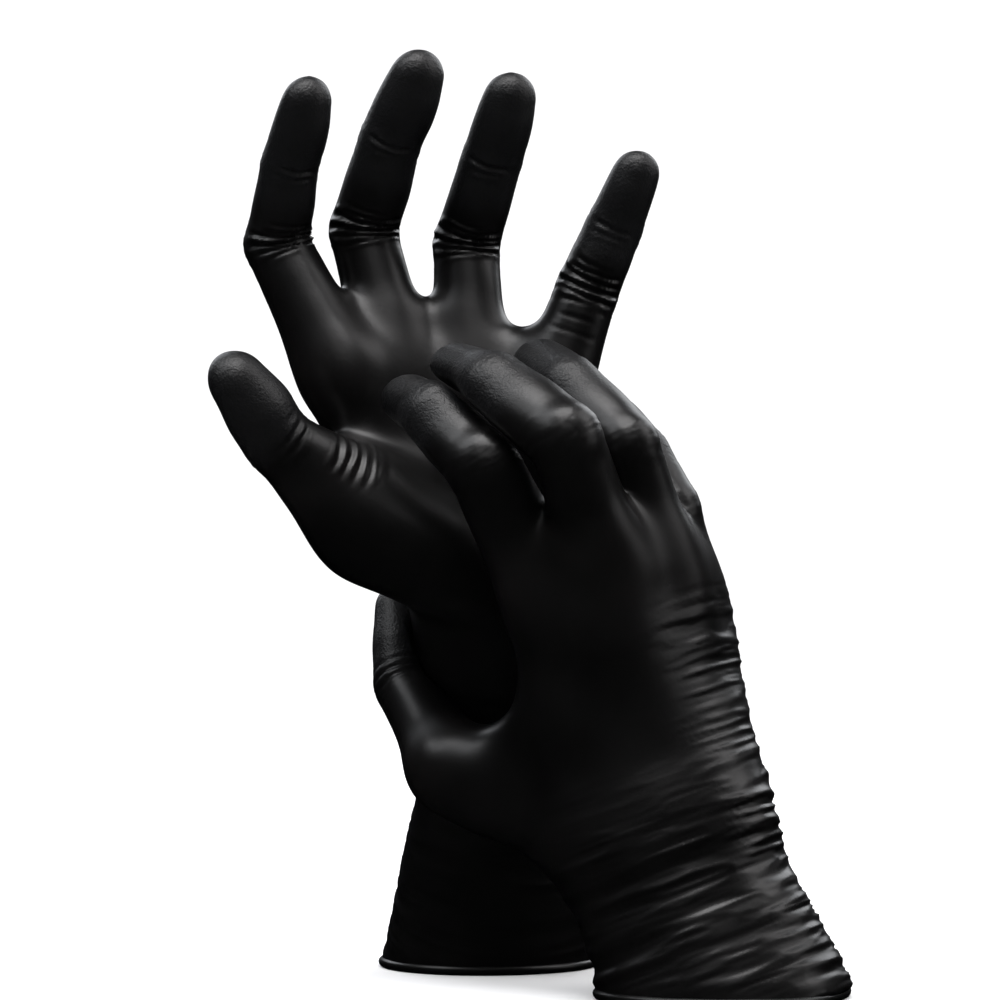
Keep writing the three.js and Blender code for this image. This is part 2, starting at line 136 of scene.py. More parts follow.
# factors on the seven stations: both ways, width only, and depth only
THINNER = {
    ("right", "index"): (1, .96, .97, .95, .95, .90, .90),
    ("right", "middle"): (1, .95, .94, .92, .88, .80, .80),
    ("right", "ring"): (1, .92, .92, .94, .93, .93, .93),
    ("right", "little"): (.87, .88, .88, .88, .88, .92, .92)}
WIDER = {
    ("right", "index"): (1.04, 1.16, 1.15, 1.22, 1.18, 1.10, 1.06),
    ("right", "middle"): (1.05, 1.17, 1.12, 1.20, 1.16, 1.08, 1.05),
    ("right", "ring"): (1.02, 1.1, 1.02, 1.10, 1.06, 1.05, 1.05)}
RIGHT_DEPTH = (1, 1, .96, 1.02, 1.02, 1, 1)
# how far the film stands off the bones at each joint
NUDGES = {
    ("left", "index"): [(0, 0, 0), (-.7, 0, 0), (-.3, 0, 0), (1.6, 0, 1.3)],
    ("left", "middle"): [(0, 0, 0), (-1.1, 0, 0), (-.5, 0, 0), (1.6, 0, 1.0)],
    ("left", "ring"): [(0, 0, 0), (-1.0, 0, 0), (.3, 0, 0), (.8, 0, 1.0)],
    ("left", "little"): [(-.5, 0, 0), (-.4, 0, 0), (.4, 0, 0), (1.0, 0, .9)],
    ("left", "thumb"): [(0, 0, 0), (1.0, -1.5, .6), (1.1, -6.0, 1.0)],
    ("right", "index"): [(0, 0, 0), (.2, 0, .4), (-.2, 0, 0), (0, 0, -.6)],
    ("right", "middle"): [(0, 0, 0), (3.0, 0, -2.0), (.6, 0, -1.2), (.8, 0, .8)],
    ("right", "ring"): [(0, 0, 0), (3.2, 0, -.8), (.4, 0, 0), (.6, 0, .4)],
    ("right", "thumb"): [(0, 0, 0), (-.6, 0, 0), (-.3, 0, .5)]}

# from skeleton to frame: the left base knuckle of the index finger is common to both
_knuckle = [j for j in frame["joints"] if j["name"] == "left_index_knuckle"][0]
SHIFT = (np.array(_knuckle["pos_m"]) * 1000.0
         - np.array(SKELETON["left"]["joints"]["index"][0]))


# ---------------------------------------------------------------- small maths
def unit(vector):
    vector = np.asarray(vector, float)
    return vector / np.linalg.norm(vector)


def smooth_step(x):
    x = np.clip(x, 0, 1)
    return x * x * (3 - 2 * x)


def smooth_min(a, b, blend):
    h = np.maximum(blend - np.abs(a - b), 0) / blend
    return np.minimum(a, b) - h * h * blend * 0.25


def smooth_max(a, b, blend):
    return -smooth_min(-a, -b, blend)


class Rod:
    """Tapered rod, called for the signed distance to its skin.

    Knots: (place 0..1, half width, half depth at the back, half depth at the palm).
    """
    STEPS = 64

    def __init__(self, start, end, across, knots, start_cap=None, end_cap=None):
        self.start = np.asarray(start, float)
        self.end = np.asarray(end, float)
        span = self.end - self.start
        self.length = np.linalg.norm(span)
        self.along = span / self.length
        across = np.asarray(across, float)
        across = across - self.along * (across @ self.along)
        self.across = across / np.linalg.norm(across)
        self.palmward = np.cross(self.across, self.along)
        knots = np.array(knots, float)
        self.start_cap = start_cap or knots[0, 1]
        self.end_cap = end_cap or knots[-1, 1]
        reach = knots[:, 1:].max() + 1
        self.low = np.minimum(self.start, self.end) - reach
        self.high = np.maximum(self.start, self.end) + reach
        places = np.linspace(0, 1, self.STEPS + 1)
        self.profiles = []
        for column in (1, 2, 3):
            sizes = np.interp(places, knots[:, 0], knots[:, column])
            for _ in range(30):
                sizes[1:-1] = (sizes[:-2] + 2 * sizes[1:-1] + sizes[2:]) / 4
            self.profiles.append(sizes)

    def local(self, points):
        """Coordinates along, across and palmward."""
        offset = points - self.start
        return offset @ self.along, offset @ self.across, offset @ self.palmward

    def __call__(self, points):
        along, across, palmward = self.local(points)
        inside = np.clip(along, 0, self.length)
        place = inside / self.length * self.STEPS
        i = np.minimum(place.astype(np.int32), self.STEPS - 1)
        part = place - i
        width, back, palm = (p[i] * (1 - part) + p[i + 1] * part for p in self.profiles)
        to_palm = 0.5 + 0.5 * np.tanh(palmward / 3.0)
        depth = back * (1 - to_palm) + palm * to_palm
        beyond = along - inside
        cap = np.where(along < 0, self.start_cap, self.end_cap)
        square = (across / width) ** 2 + (palmward / depth) ** 2 + (beyond / cap) ** 2
        ratio = np.sqrt(square + 1e-12)
        slope = np.sqrt((across / width ** 2) ** 2 + (palmward / depth ** 2) ** 2
                        + (beyond / cap ** 2) ** 2)
        slope = np.maximum(slope, 0.02)
        return np.where(ratio > 1, ratio * (ratio - 1) / slope, (square - 1) / (2 * slope))


# ---------------------------------------------------------------- the rods of one glove
def film_widths(side, finger):
    return np.array(FINGER_WIDTHS[finger]) * np.array(THINNER.get((side, finger), 1))


def finger_rods(side, finger, joints, across):
    depth = film_widths(side, finger)
    width = depth * np.array(WIDER.get((side, finger), 1))
    if side == "right":
        depth = depth * np.array(RIGHT_DEPTH)
    base, proximal, second, middle, third, pad, tip = depth
    tip_centre = joints[3] - unit(joints[3] - joints[2]) * tip * 0.98
    second_knuckle = (width[2], second * .98, second * .92)
    third_knuckle = (width[4], third * .92, third * .90)
    return [
        Rod(joints[0], joints[1], across, [
            (0, width[0] + .9, base + 1.3, base + 1.0),
            (.5, width[1] + .2, proximal * .99, proximal * 1.05),
            (.8, (width[1] + width[2]) / 2, proximal * .95, proximal * .98),
            (1, *second_knuckle)]),
        Rod(joints[1], joints[2], across, [
            (0, *second_knuckle),
            (.2, (width[2] + width[3]) / 2, middle * .95, middle * .97),
            (.55, width[3], middle * .92, middle * 1.04),
            (1, *third_knuckle)]),
        Rod(joints[2], tip_centre, across, [
            (0, *third_knuckle),
            (.45, width[5], pad * .84, pad * 1.02),
            (.8, (width[5] + width[6]) / 2, tip * .86, pad * .98),
            (1, width[6], tip * .80, tip * .90)], end_cap=tip)]


def thumb_rods(side, joints, across):
    base, proximal, knuckle, pad, tip = np.array(THUMB_WIDTHS) * THUMB_SCALE[side]
    tip_centre = joints[2] - unit(joints[2] - joints[1]) * tip * 0.98
    at_knuckle = (knuckle, knuckle * .9, knuckle * .86)
    return [
        Rod(joints[0], joints[1], across, [
            (0, base * .95, base * .95, base * .98),
            (.5, proximal, proximal * .93, proximal),
            (1, *at_knuckle)]),
        Rod(joints[1], tip_centre, across, [
            (0, *at_knuckle),
            (.5, pad * 1.02, pad * .8, pad * .98),
            (1, tip, tip * .72, tip * .92)], end_cap=tip)]


def palm_rods(side, bones, joints, wrist, forward, thumbward):
    palmward = unit(np.array(bones["palmward"]))
    base = wrist + forward * 10
    rods = []
    # a ray from the wrist to each base knuckle
    for finger in FINGERS:
        start = (base + thumbward * bones["palm_starts"][finger]
                 + forward * (2 if finger in ("middle", "ring") else 0))
        middle_width = bones["little_ray"] if finger == "little" else 12.5
        knuckle = film_widths(side, finger)[0]
        rods.append(Rod(start, joints[finger][0], bones["across"][finger], [
            (0, 13, 17, 16),
            (.5, middle_width, 14.2, 13.5),
            (1, knuckle + .5, knuckle + 1.0, knuckle + 1.0)],
            start_cap=12, end_cap=knuckle + .6))
    # the ball of the thumb
    root, thumb_base = np.array(bones["thumb_root"]), joints["thumb"][0]
    rods.append(Rod(root, thumb_base, unit(np.cross(unit(thumb_base - root), palmward)), [
        (0, 14.5, 14, 16), (0.45, 14.5, 13, 17.5), (1, 12.3, 11.8, 12.6)],
        start_cap=12, end_cap=12.2))
    # from the ball of the thumb to the index finger's ray
    index_base = joints["index"][0]
    index_start = base + thumbward * bones["palm_starts"]["index"]
    rods.append(Rod(
        root + (thumb_base - root) * 0.72, index_start + (index_base - index_start) * 0.62,
        unit(unit(thumb_base - root) + unit(index_base - base)),
        [(0, 9, 9, 9.5), (.5, 8, 8, 8), (1, 9, 9.5, 9.5)]))
    # the little-finger border of the hand
    heel_shift, top_shift = bones["border"]
    little_base = joints["little"][0]
    heel = base + thumbward * heel_shift + palmward * 3
    top = little_base + (heel - little_base) * 0.25 + palmward * 1.5 + thumbward * top_shift
    rods.append(Rod(heel, top, thumbward, [
        (0, 10.5, 13, 14.5), (.5, 11, 12.5, 14.5), (1, 9, 11, 12)], start_cap=10, end_cap=9))
    return rods


def bulge_rods(side, thumb_across):
    """Swellings of one hand only."""
    if side == "right":
        # the head of the forefinger bone
        return [Rod((17.5, -50.5, 110.5), (22.0, -51, 107.5), thumb_across,
                    [(0, 11.5, 12.5, 12.5), (1, 11.5, 12.5, 12.5)])]
    # the ball of the thumb: its outer border, the heel below it and its swell to the palm side
    return [
        Rod((-40, -22, 134.5), (-54.6, -29.5, 145.2), thumb_across,
            [(0, 9.4, 9.0, 9.4), (1, 9.2, 8.6, 9.0)]),
        Rod((-9.5, 4, 103), (-9.0, 8, 86), thumb_across,
            [(0, 13.0, 13.0, 13.0), (1, 12.0, 12.0, 12.0)]),
        Rod((-37, -25, 131), (-16, -25, 124), thumb_across,
            [(0, 14.0, 14.0, 14.0), (1, 14.0, 14.5, 14.0)])]


def web_rods(bones, joints, forward):
    """Film that spans from each finger to the next, from the web back past the knuckles."""
    rods = []
    ends, middle = bones["web_depth"]
    for k, pair in enumerate(zip(FINGERS[:-1], FINGERS[1:])):
        knuckles = [joints[finger][0] for finger in pair]
        bones_along = [joints[finger][1] - joints[finger][0] for finger in pair]
        across = unit(bones_along[0] + bones_along[1])
        toward = [unit(bone) for bone in bones_along]
        for reach, knots in (
                (bones["web_reach"][k],
                 [(0, 6.5, ends, ends), (.5, 5.5, middle, middle), (1, 6.5, ends, ends)]),
                (8,
                 [(0, 8, ends + 1, ends + .5), (.5, 8, middle + 1.5, middle + 1),
                  (1, 8, ends + 1, ends + .5)])):
            start, end = (knuckles[i] + toward[i] * reach for i in (0, 1))
            rods.append(Rod(start, end, across, knots))
        for back, fill in zip((0, 13), bones["web_fill"]):
            start, end = (knuckles[i] - toward[i] * back * .6 - forward * back * .4
                          for i in (0, 1))
            first, last = (FINGER_WIDTHS[finger][0] + fill for finger in pair)
            rods.append(Rod(start, end, across, [
                (0, 10, first - 1.2, first - .6),
                (.5, 10, (first + last) / 2 - 1.4, (first + last) / 2 - .6),
                (1, 10, last - 1.2, last - .6)], start_cap=5, end_cap=5))
    return rods


def cuff_rod(bones, wrist, rim, forward, thumbward):
    width, depth, rim_width, rim_depth = bones["cuff"]
    mid_width = width + (rim_width - width) * .45
    mid_depth = depth + (rim_depth - depth) * .5
    return Rod(rim - forward * 12, wrist + forward * 16, thumbward, [
        (0, rim_width, rim_depth, rim_depth), (.42, mid_width, mid_depth, mid_depth),
        (.8, width, depth, depth), (1, width + 1, depth - 1, depth - 1)],
        start_cap=5, end_cap=14)


def build_glove(side):
    bones = SKELETON[side]
    wrist, rim = np.array(bones["wrist"]), np.array(bones["rim"])
    forward = unit(wrist - rim)
    thumbward = unit(np.array(bones["thumbward"]))
    across = bones["across"]
    joints = {digit: np.array(bones["joints"][digit]) + np.array(NUDGES.get((side, digit), 0))
              for digit in DIGITS}
    rods = {f: finger_rods(side, f, joints[f], across[f]) for f in FINGERS}
    rods["thumb"] = thumb_rods(side, joints["thumb"], across["thumb"])
    return SimpleNamespace(
        side=side, wrist=wrist, rim=rim, forward=forward, thumbward=thumbward,
        palmward=unit(np.array(bones["palmward"])), rods=rods,
        palm=(palm_rods(side, bones, joints, wrist, forward, thumbward)
              + bulge_rods(side, across["thumb"])),
        webs=web_rods(bones, joints, forward),
        cuff=cuff_rod(bones, wrist, rim, forward, thumbward))


# ---------------------------------------------------------------- distance to the film
def near_field(rod, points, margin=16.0):
    """Distance to a rod, worked out only for points near it."""
    field = np.full(len(points), 60.0, np.float32)
    near = ((points > rod.low - margin) & (points < rod.high + margin)).all(1)
    if near.any():
        field[near] = rod(points[near])
    return field


def palm_field(glove, points):
    field = near_field(glove.palm[0], points, 22)
    for rod in glove.palm[1:]:
        field = smooth_min(field, near_field(rod, points, 22), 14)
    for rod in glove.webs:
        field = smooth_min(field, near_field(rod, points), 6)
    return smooth_min(field, near_field(glove.cuff, points, 22), 12)


def digit_fields(glove, points):
    """Distance to each digit, one row per digit."""
    rows = []
    for digit in DIGITS:
        rods = glove.rods[digit]
        row = near_field(rods[0], points)
        for rod in rods[1:]:
            row = smooth_min(row, near_field(rod, points), 1.6)
        rows.append(row)
    fields = np.array(rows)
    # neighbouring fingers stay apart beyond the webs
    gap = STALL_GAP[glove.side]
    for k in range(len(FINGERS) - 1):
        near = (fields[k] < 6) & (fields[k + 1] < 6)
        if not near.any():
            continue
        first, second = fields[k][near], fields[k + 1][near]
        along = [glove.rods[FINGERS[i]][0].local(points[near])[0] for i in (k, k + 1)]
        lift = 3.0 * (1 - smooth_step((np.maximum(*along) - 20) / 8))
        between = (first - second) / 2
        fields[k, near] = smooth_max(first, between + gap - lift, 1.2)
        fields[k + 1, near] = smooth_max(second, -between + gap - lift, 1.2)
    return fields


def glove_field(glove, points, other=None):
    points = np.asarray(points, float)
    field = smooth_min(palm_field(glove, points), digit_fields(glove, points).min(0), 6.0)
    if other is not None:
        near = field < 8
        if near.any():
            keep_off = GLOVE_GAP - glove_field(other, points[near])
            field[near] = smooth_max(field[near], keep_off, 1.0)
    return field


PROBE = 0.3


def field_rise(field, points, values):
    """Rise of a field over a PROBE step along each axis."""
    return np.stack([field(points + np.eye(3)[i] * PROBE) for i in range(3)], 1) - values[:, None]


# ---------------------------------------------------------------- from distance to surface
def sample_field(field, low, high, step, coarse):
    """Field on a grid, worked out only in the coarse blocks the surface may cross."""
    size = np.ceil((np.asarray(high) - low) / step / coarse).astype(int) * coarse + 1
    blocks = (size - 1) // coarse
    axes = [low[i] + np.arange(blocks[i] + 1) * step * coarse for i in range(3)]
    corners = np.stack(np.meshgrid(*axes, indexing="ij"), -1).reshape(-1, 3)
    at_corners = field(corners).reshape(blocks + 1)
    lowest = at_corners[:-1, :-1, :-1].copy()
    highest = lowest.copy()
    for x, y, z in np.ndindex(2, 2, 2):
        value = at_corners[x:x + blocks[0], y:y + blocks[1], z:z + blocks[2]]
        lowest = np.minimum(lowest, value)
        highest = np.maximum(highest, value)
    reach = step * coarse * 1.1
    active = np.argwhere((lowest < reach) & (highest > -reach))
    inside = highest < 0
    for axis in range(3):
        inside = np.repeat(inside, coarse, axis)
    grid = np.where(inside, np.float32(-9), np.float32(9))
    grid = np.pad(grid, ((0, 1),) * 3, mode="edge").astype(np.float32)
    local = np.stack(np.meshgrid(*[np.arange(coarse + 1)] * 3, indexing="ij"), -1).reshape(-1, 3)
    for first in range(0, len(active), 1500):
        nodes = (active[first:first + 1500, None, :] * coarse + local[None]).reshape(-1, 3)
        key = (nodes[:, 0] * size[1] + nodes[:, 1]) * size[2] + nodes[:, 2]
        nodes = nodes[np.unique(key, return_index=True)[1]]
        grid[nodes[:, 0], nodes[:, 1], nodes[:, 2]] = field(low + nodes * step)
    return grid


def surface_nets(field, low, high, step, coarse=6):
    """One point in each grid cell the surface crosses, joined by quads."""
    low = np.asarray(low, float)
    grid = sample_field(field, low, high, step, coarse)
    inside = grid < 0
    cells = np.array(grid.shape) - 1
    corners = list(np.ndindex(2, 2, 2))
    count = sum(inside[x:x + cells[0], y:y + cells[1], z:z + cells[2]].astype(np.int8)
                for x, y, z in corners)
    crossed = (count > 0) & (count < 8)
    cell = np.argwhere(crossed)
    index = -np.ones(cells, np.int64)
    index[crossed] = np.arange(len(cell))
    total = np.zeros((len(cell), 3))
    crossings = np.zeros(len(cell))
    edges = [(p, q) for i, p in enumerate(corners) for q in corners[i + 1:]
             if sum(abs(a - b) for a, b in zip(p, q)) == 1]
    for start, end in edges:
        at_start, at_end = (grid[cell[:, 0] + c[0], cell[:, 1] + c[1], cell[:, 2] + c[2]]
                            for c in (start, end))
        cross = (at_start < 0) != (at_end < 0)
        part = np.where(cross, at_start / np.where(cross, at_start - at_end, 1), 0)
        point = np.array(start) + part[:, None] * (np.array(end) - np.array(start))
        total += np.where(cross[:, None], point, 0)
        crossings += cross
    verts = low + (cell + total / crossings[:, None]) * step
    quads = []
    for axis in range(3):
        ahead = np.eye(3, dtype=int)[axis]
        here = inside[1:cells[0], 1:cells[1], 1:cells[2]]
        there = inside[1 + ahead[0]:cells[0] + ahead[0], 1 + ahead[1]:cells[1] + ahead[1],
                       1 + ahead[2]:cells[2] + ahead[2]]
        edge = np.argwhere(here != there) + 1
        flip = inside[edge[:, 0], edge[:, 1], edge[:, 2]]
        if axis == 1:
            flip = ~flip
        side_a, side_b = (np.eye(3, dtype=int)[i] for i in range(3) if i != axis)
        quad = np.stack([index[e[:, 0], e[:, 1], e[:, 2]] for e in (
            edge - side_a - side_b, edge - side_b, edge, edge - side_a)], 1)
        quad[~flip] = quad[~flip][:, ::-1]
        quads.append(quad)
    quads = np.concatenate(quads)
    return verts, quads[(quads >= 0).all(1)]


def drop_unused(verts, quads):
    used = np.unique(quads)
    new_index = -np.ones(len(verts), np.int64)
    new_index[used] = np.arange(len(used))
    return verts[used], new_index[quads]


def largest_body(verts, quads):
    """Keep the largest connected part."""
    label = np.arange(len(verts))
    while True:
        lowest = label[quads].min(1)
        new = label.copy()
        for k in range(4):
            np.minimum.at(new, quads[:, k], lowest)
        new = new[new]
        if (new == label).all():
            break
        label = new
    keep = label == np.bincount(label).argmax()
    return drop_unused(verts, quads[keep[quads].all(1)])


def edges_of(quads):
    return np.vstack([quads[:, [0, 1]], quads[:, [1, 2]], quads[:, [2, 3]], quads[:, [3, 0]]])


def rim_edges(quads, count):
    """Edges used by one face only."""
    edges = edges_of(quads)
    key = np.sort(edges, 1)
    key = key[:, 0] * count + key[:, 1]
    _, inverse, uses = np.unique(key, return_inverse=True, return_counts=True)
    return edges[uses[inverse] == 1]


def vertex_normals(verts, quads):
    face_normals = np.cross(verts[quads[:, 2]] - verts[quads[:, 0]],
                            verts[quads[:, 3]] - verts[quads[:, 1]])
    normals = np.zeros_like(verts)
    for k in range(4):
        for axis in range(3):
            normals[:, axis] += np.bincount(quads[:, k], face_normals[:, axis], len(verts))
    return normals / (np.linalg.norm(normals, axis=1, keepdims=True) + 1e-9)


def relax(verts, quads, rounds, amount):
    """Move every point toward the mean of its neighbours; amount may be one per point."""
    edges = edges_of(quads)
    start, end = edges[:, 0], edges[:, 1]
    count = np.bincount(edges.ravel(), minlength=len(verts)).astype(float)
    amount = np.broadcast_to(np.asarray(amount, float), (len(verts),))[:, None]
    for _ in range(rounds):
        total = np.zeros_like(verts)
        for axis in range(3):
            total[:, axis] = (np.bincount(start, verts[end, axis], len(verts))
                              + np.bincount(end, verts[start, axis], len(verts)))
        verts = verts + amount * (total / count[:, None] - verts)
    return verts


# ---------------------------------------------------------------- folds and creases
LATTICE = np.random.RandomState(7).rand(64, 64, 64).astype(np.float32)


def noise3(points):
    """Smooth value noise, 0..1, period 64."""
    cell = np.floor(points).astype(np.int64)
    part = points - cell
    part = part * part * (3 - 2 * part)
    total = 0
    for x, y, z in np.ndindex(2, 2, 2):
        weight = ((part[:, 0] if x else 1 - part[:, 0])
                  * (part[:, 1] if y else 1 - part[:, 1])
                  * (part[:, 2] if z else 1 - part[:, 2]))
        corner = LATTICE[(cell[:, 0] + x) & 63, (cell[:, 1] + y) & 63, (cell[:, 2] + z) & 63]
        total = total + weight * corner
    return total


def ridged(points, octaves=2):
    total, height, full = 0, 1.0, 0
    for k in range(octaves):
        total = total + height * (1 - np.abs(2 * noise3(points * (2 ** k) + 17.3 * k) - 1))
        full += height
        height *= 0.5
    return total / full


def chain_coords(rods, points):
    """Distance along a digit from its base knuckle, and angle round it (0 = pad side)."""
    passed, fields, places, sides = 0.0, [], [], []
    for rod in rods:
        along, across, palmward = rod.local(points)
        fields.append(rod(points))
        places.append(passed + along)
        sides.append(np.stack([across, palmward]))
        passed += rod.length
    fields = np.array(fields)
    weight = np.exp(-(fields - fields.min(0)) / 1.5)
    weight /= weight.sum(0)
    place = (weight * np.array(places)).sum(0)
    across, palmward = sum(weight[k] * sides[k] for k in range(len(rods)))
    return place, np.arctan2(across, palmward)


# offset: mm past the joint (0 base knuckle, 1 second, 2 third);  facing: direction, None = pad
# half_span: radians round the digit;  depth, width: mm;  tilt, curve: lean and bow of the line
Fold = namedtuple("Fold", "digit joint offset facing half_span depth width tilt curve")


def left_folds():
    folds = []
    for digit, facing in (("index", (.5, -1, .1)), ("middle", (.15, -1, 0)),
                          ("ring", (0, -1, 0)), ("little", (0, -1, 0))):
        scale = .75 if digit == "little" else 1.0
        for joint, curve, rows in (
                # offset, depth, width, tilt, half span
                (1, .35, ((-4.2, .40, .70, .9, .8), (-2.0, .85, .78, -.45, 1.3),
                          (.7, 1.25, .85, .30, 1.5), (3.5, 1.10, .80, -.25, 1.4),
                          (6.0, .75, .72, .55, 1.1), (8.4, .45, .66, -.5, .9))),
                (2, .3, ((-1.4, .38, .6, .5, .7), (.9, .62, .65, -.4, .95)))):
            for offset, depth, width, tilt, half_span in rows:
                folds.append(Fold(digit, joint, offset, facing, half_span, depth * scale,
                                  width, tilt, curve))
    for offset, depth, half_span in ((-9.5, .2, .7), (-14, .14, .9)):
        folds.append(Fold("little", 1, offset, facing=(0, -1, 0), half_span=half_span,
                          depth=depth, width=.7, tilt=.5, curve=.3))
    # web side of the thumb's base
    for offset, depth, tilt in ((3.5, .6, .5), (6.6, .95, .8), (9.8, 1.0, .6),
                                (13.0, .8, .9), (16.2, .55, .7)):
        folds.append(Fold("thumb", 0, offset, facing=(.35, -.75, .75), half_span=.85,
                          depth=depth, width=.95, tilt=tilt, curve=.5))
    for offset, depth in ((-2.0, .3), (.8, .35)):
        folds.append(Fold("thumb", 1, offset, facing=(.3, -1, .3), half_span=.9,
                          depth=depth, width=.8, tilt=.3, curve=.3))
    return folds


def right_folds():
    folds = []
    # the inside of the bends
    for digit in FINGERS:
        for joint, half_span, width, rows in (
                (1, 1.3, .85, ((-3.4, .7), (-.6, .9), (2.4, .7))),
                (2, 1.1, .75, ((-1.2, .5), (1.2, .5)))):
            for offset, depth in rows:
                folds.append(Fold(digit, joint, offset, None, half_span, depth, width,
                                  tilt=.3, curve=.3))
    for offset, depth in ((-3, .25), (0, .3), (3, .22)):
        folds.append(Fold("thumb", 1, offset, facing=(-.4, -1, .3), half_span=1.0,
                          depth=depth, width=.8, tilt=.2, curve=.2))
    return folds


FOLDS = {"left": left_folds(), "right": right_folds()}


def crease(fold, rods, starts, place, angle):
    """Height of one fold: a groove between two low ridges."""
    facing = 0.0
    if fold.facing is not None:
        rod = rods[min(fold.joint, len(rods) - 1)]
        direction = np.asarray(fold.facing, float)
        facing = np.arctan2(direction @ rod.across, direction @ rod.palmward)
    wobble = 0.35 * (noise3(np.stack([
        place * .25, angle * 2.2 + 9,
        np.full_like(place, fold.offset + 5 * fold.joint)], 1)) - .5) * 2
    turn = (angle - facing + np.pi) % (2 * np.pi) - np.pi
    line = starts[fold.joint] + fold.offset
    x = (place + wobble - line - fold.tilt * turn - fold.curve * turn * turn) / fold.width
    window = smooth_step((fold.half_span - np.abs(turn)) / 0.45)
    return window * fold.depth * (-np.exp(-x * x)
                                  + .45 * np.exp(-((np.abs(x) - 2.1) / 1.1) ** 2))


def digit_relief(glove, fields, nearest, points):
    """Fold height on the digits, and distance along them."""
    height = np.zeros(len(points))
    distance = np.zeros(len(points))
    for k, digit in enumerate(DIGITS):
        mine = (nearest == k) & (fields[k] < 4)
        if not mine.any():
            continue
        rods = glove.rods[digit]
        place, angle = chain_coords(rods, points[mine])
        distance[mine] = place
        starts = [0] + list(np.cumsum([rod.length for rod in rods]))
        relief = np.zeros(mine.sum())
        for fold in FOLDS[glove.side]:
            if fold.digit == digit:
                relief += crease(fold, rods, starts, place, angle)
        # fine rings of film that gather around each knuckle
        for j in range(1, len(rods)):
            close = np.exp(-((place - starts[j]) / 7.5) ** 2)
            rings = np.stack([place * .55, angle * .9, np.full_like(place, 3.1 * k + j)], 1)
            relief += close * 0.16 * (ridged(rings) - .5) * 2
        height[mine] = relief * (1 - np.clip(fields[k][mine] / 4, 0, 1))
    return height, distance


def hand_relief(glove, points, palm):
    """Tension lines and gathered film on the hand and the cuff."""
    offset = points - glove.wrist
    along = offset @ glove.forward
    thumbward = offset @ glove.thumbward
    angle = np.arctan2(offset @ glove.palmward, thumbward)
    on_hand = smooth_step((palm * -1 + 3) / 3)

    def wrapped(length_scale, round_scale, start):
        return np.stack([along * length_scale, np.cos(angle) * round_scale,
                         np.sin(angle) * round_scale + start], 1)

    if glove.side == "left":
        low = smooth_step((8 - along) / 18)
        return on_hand * low * (ridged(wrapped(.22, .8, 4.5)) - .5) * 1.1
    border = smooth_step((-thumbward - 6) / 18) * smooth_step((78 - along) / 20)
    low = smooth_step((34 - along) / 30)
    fold = (np.clip(ridged(wrapped(.36, 1.1, 2.5)), .45, 1) - .6) * 2.2
    return (on_hand * (border * .62 + low * .38) * fold
            + on_hand * low * (ridged(wrapped(.16, .9, 8.5), 1) - .5) * 1.6)


# ---------------------------------------------------------------- which piece a point is in
def assign_pieces(glove, points, fields, palm):
    """Piece of every point, and how far the point has gone over to that piece's own body."""
    piece = np.array(["hand"] * len(points), dtype=object)
    weight = np.zeros(len(points))
    nearest = fields.argmin(0)
    for k, digit in enumerate(DIGITS):
        mine = nearest == k
        if not mine.any():
            continue
        thumb = digit == "thumb"
        place, _ = chain_coords(glove.rods[digit], points[mine])
        first, second = (rod.length for rod in glove.rods[digit][:2])
        away = palm[mine] - fields[k][mine]
        cut = first - (9.0 if thumb else 11.0)
        root = smooth_step((away - 0.5) / (11.0 if thumb else 13.0)) * smooth_step((place - 2) / 8)
        root = np.maximum(root, smooth_step((place - (cut - 4)) / 4) * (away > 3))
        # part, where it starts, lead before the blend begins, length of the blend
        if thumb:
            parts = [("_tip", cut, .5, 17.0)]
        else:
            tip_cut = first + second * .55
            parts = [("_middle", cut, .5, 19.0),
                     ("_tip", tip_cut, .3, 2 * (first + second - tip_cut) + 1.5)]
        names = np.array(["hand"] * mine.sum(), dtype=object)
        gone = np.zeros(mine.sum())
        on_digit = root > 0.002
        names[on_digit] = digit + "_proximal"
        gone[on_digit] = root[on_digit]
        for part, start, lead, length in parts:
            beyond = (place >= start) & on_digit
            names[beyond] = digit + part
            gone[beyond] = smooth_step((place[beyond] - start - lead) / length)
        piece[mine] = names
        weight[mine] = gone
    along = (points - glove.wrist) @ glove.forward
    cuff = (piece == "hand") & (along < 11)
    piece[cuff] = "cuff"
    weight[cuff] = smooth_step((11 - along[cuff]) / 24)
    return piece, weight


# ---------------------------------------------------------------- the film of one glove
def easing_rounds(sigma, step):
    return max(1, int(round(2 * sigma * sigma / (step * step * .5 * .8))))


def smooth_surface(glove, step, other):
    """The film without its folds."""
    rods = [rod for chain in glove.rods.values() for rod in chain]
    ends = np.array([rod.start for rod in rods + glove.palm] + [rod.end for rod in rods]
                    + [glove.rim])
    low, high = ends.min(0) - 46, ends.max(0) + [46, 46, 28]
    low[2] = CUFF_END

    def field(points):
        return glove_field(glove, points, other)

    verts, quads = drop_unused(*surface_nets(field, low, high, step))
    edge = verts[:, 2] < CUFF_END + step * 1.01
    # settle the points on the surface
    for _ in range(2):
        verts = relax(verts, quads, 1, .5)
        value = field(verts)
        slope = field_rise(field, verts, value)
        slope /= PROBE
        verts = verts - slope * (value / np.maximum((slope * slope).sum(1), .3))[:, None] * .95
    verts[edge, 2] = CUFF_END
    verts, quads = largest_body(verts, quads)
    # the film bridges hollows: ease it all but the lower edge, then the hand and cuff further
    off_edge = smooth_step((verts[:, 2] - CUFF_END - 1.5) / 6)
    on_hand = smooth_step((6 - palm_field(glove, verts)) / 9) * off_edge
    verts = relax(verts, quads, easing_rounds(EASE_ALL, step), .5 * (.8 * off_edge))
    verts = relax(verts, quads, easing_rounds(EASE_HAND, step), .62 * on_hand)
    verts[verts[:, 2] < CUFF_END + .01, 2] = CUFF_END
    if other is not None:
        push_off(other, verts)
    return verts, quads


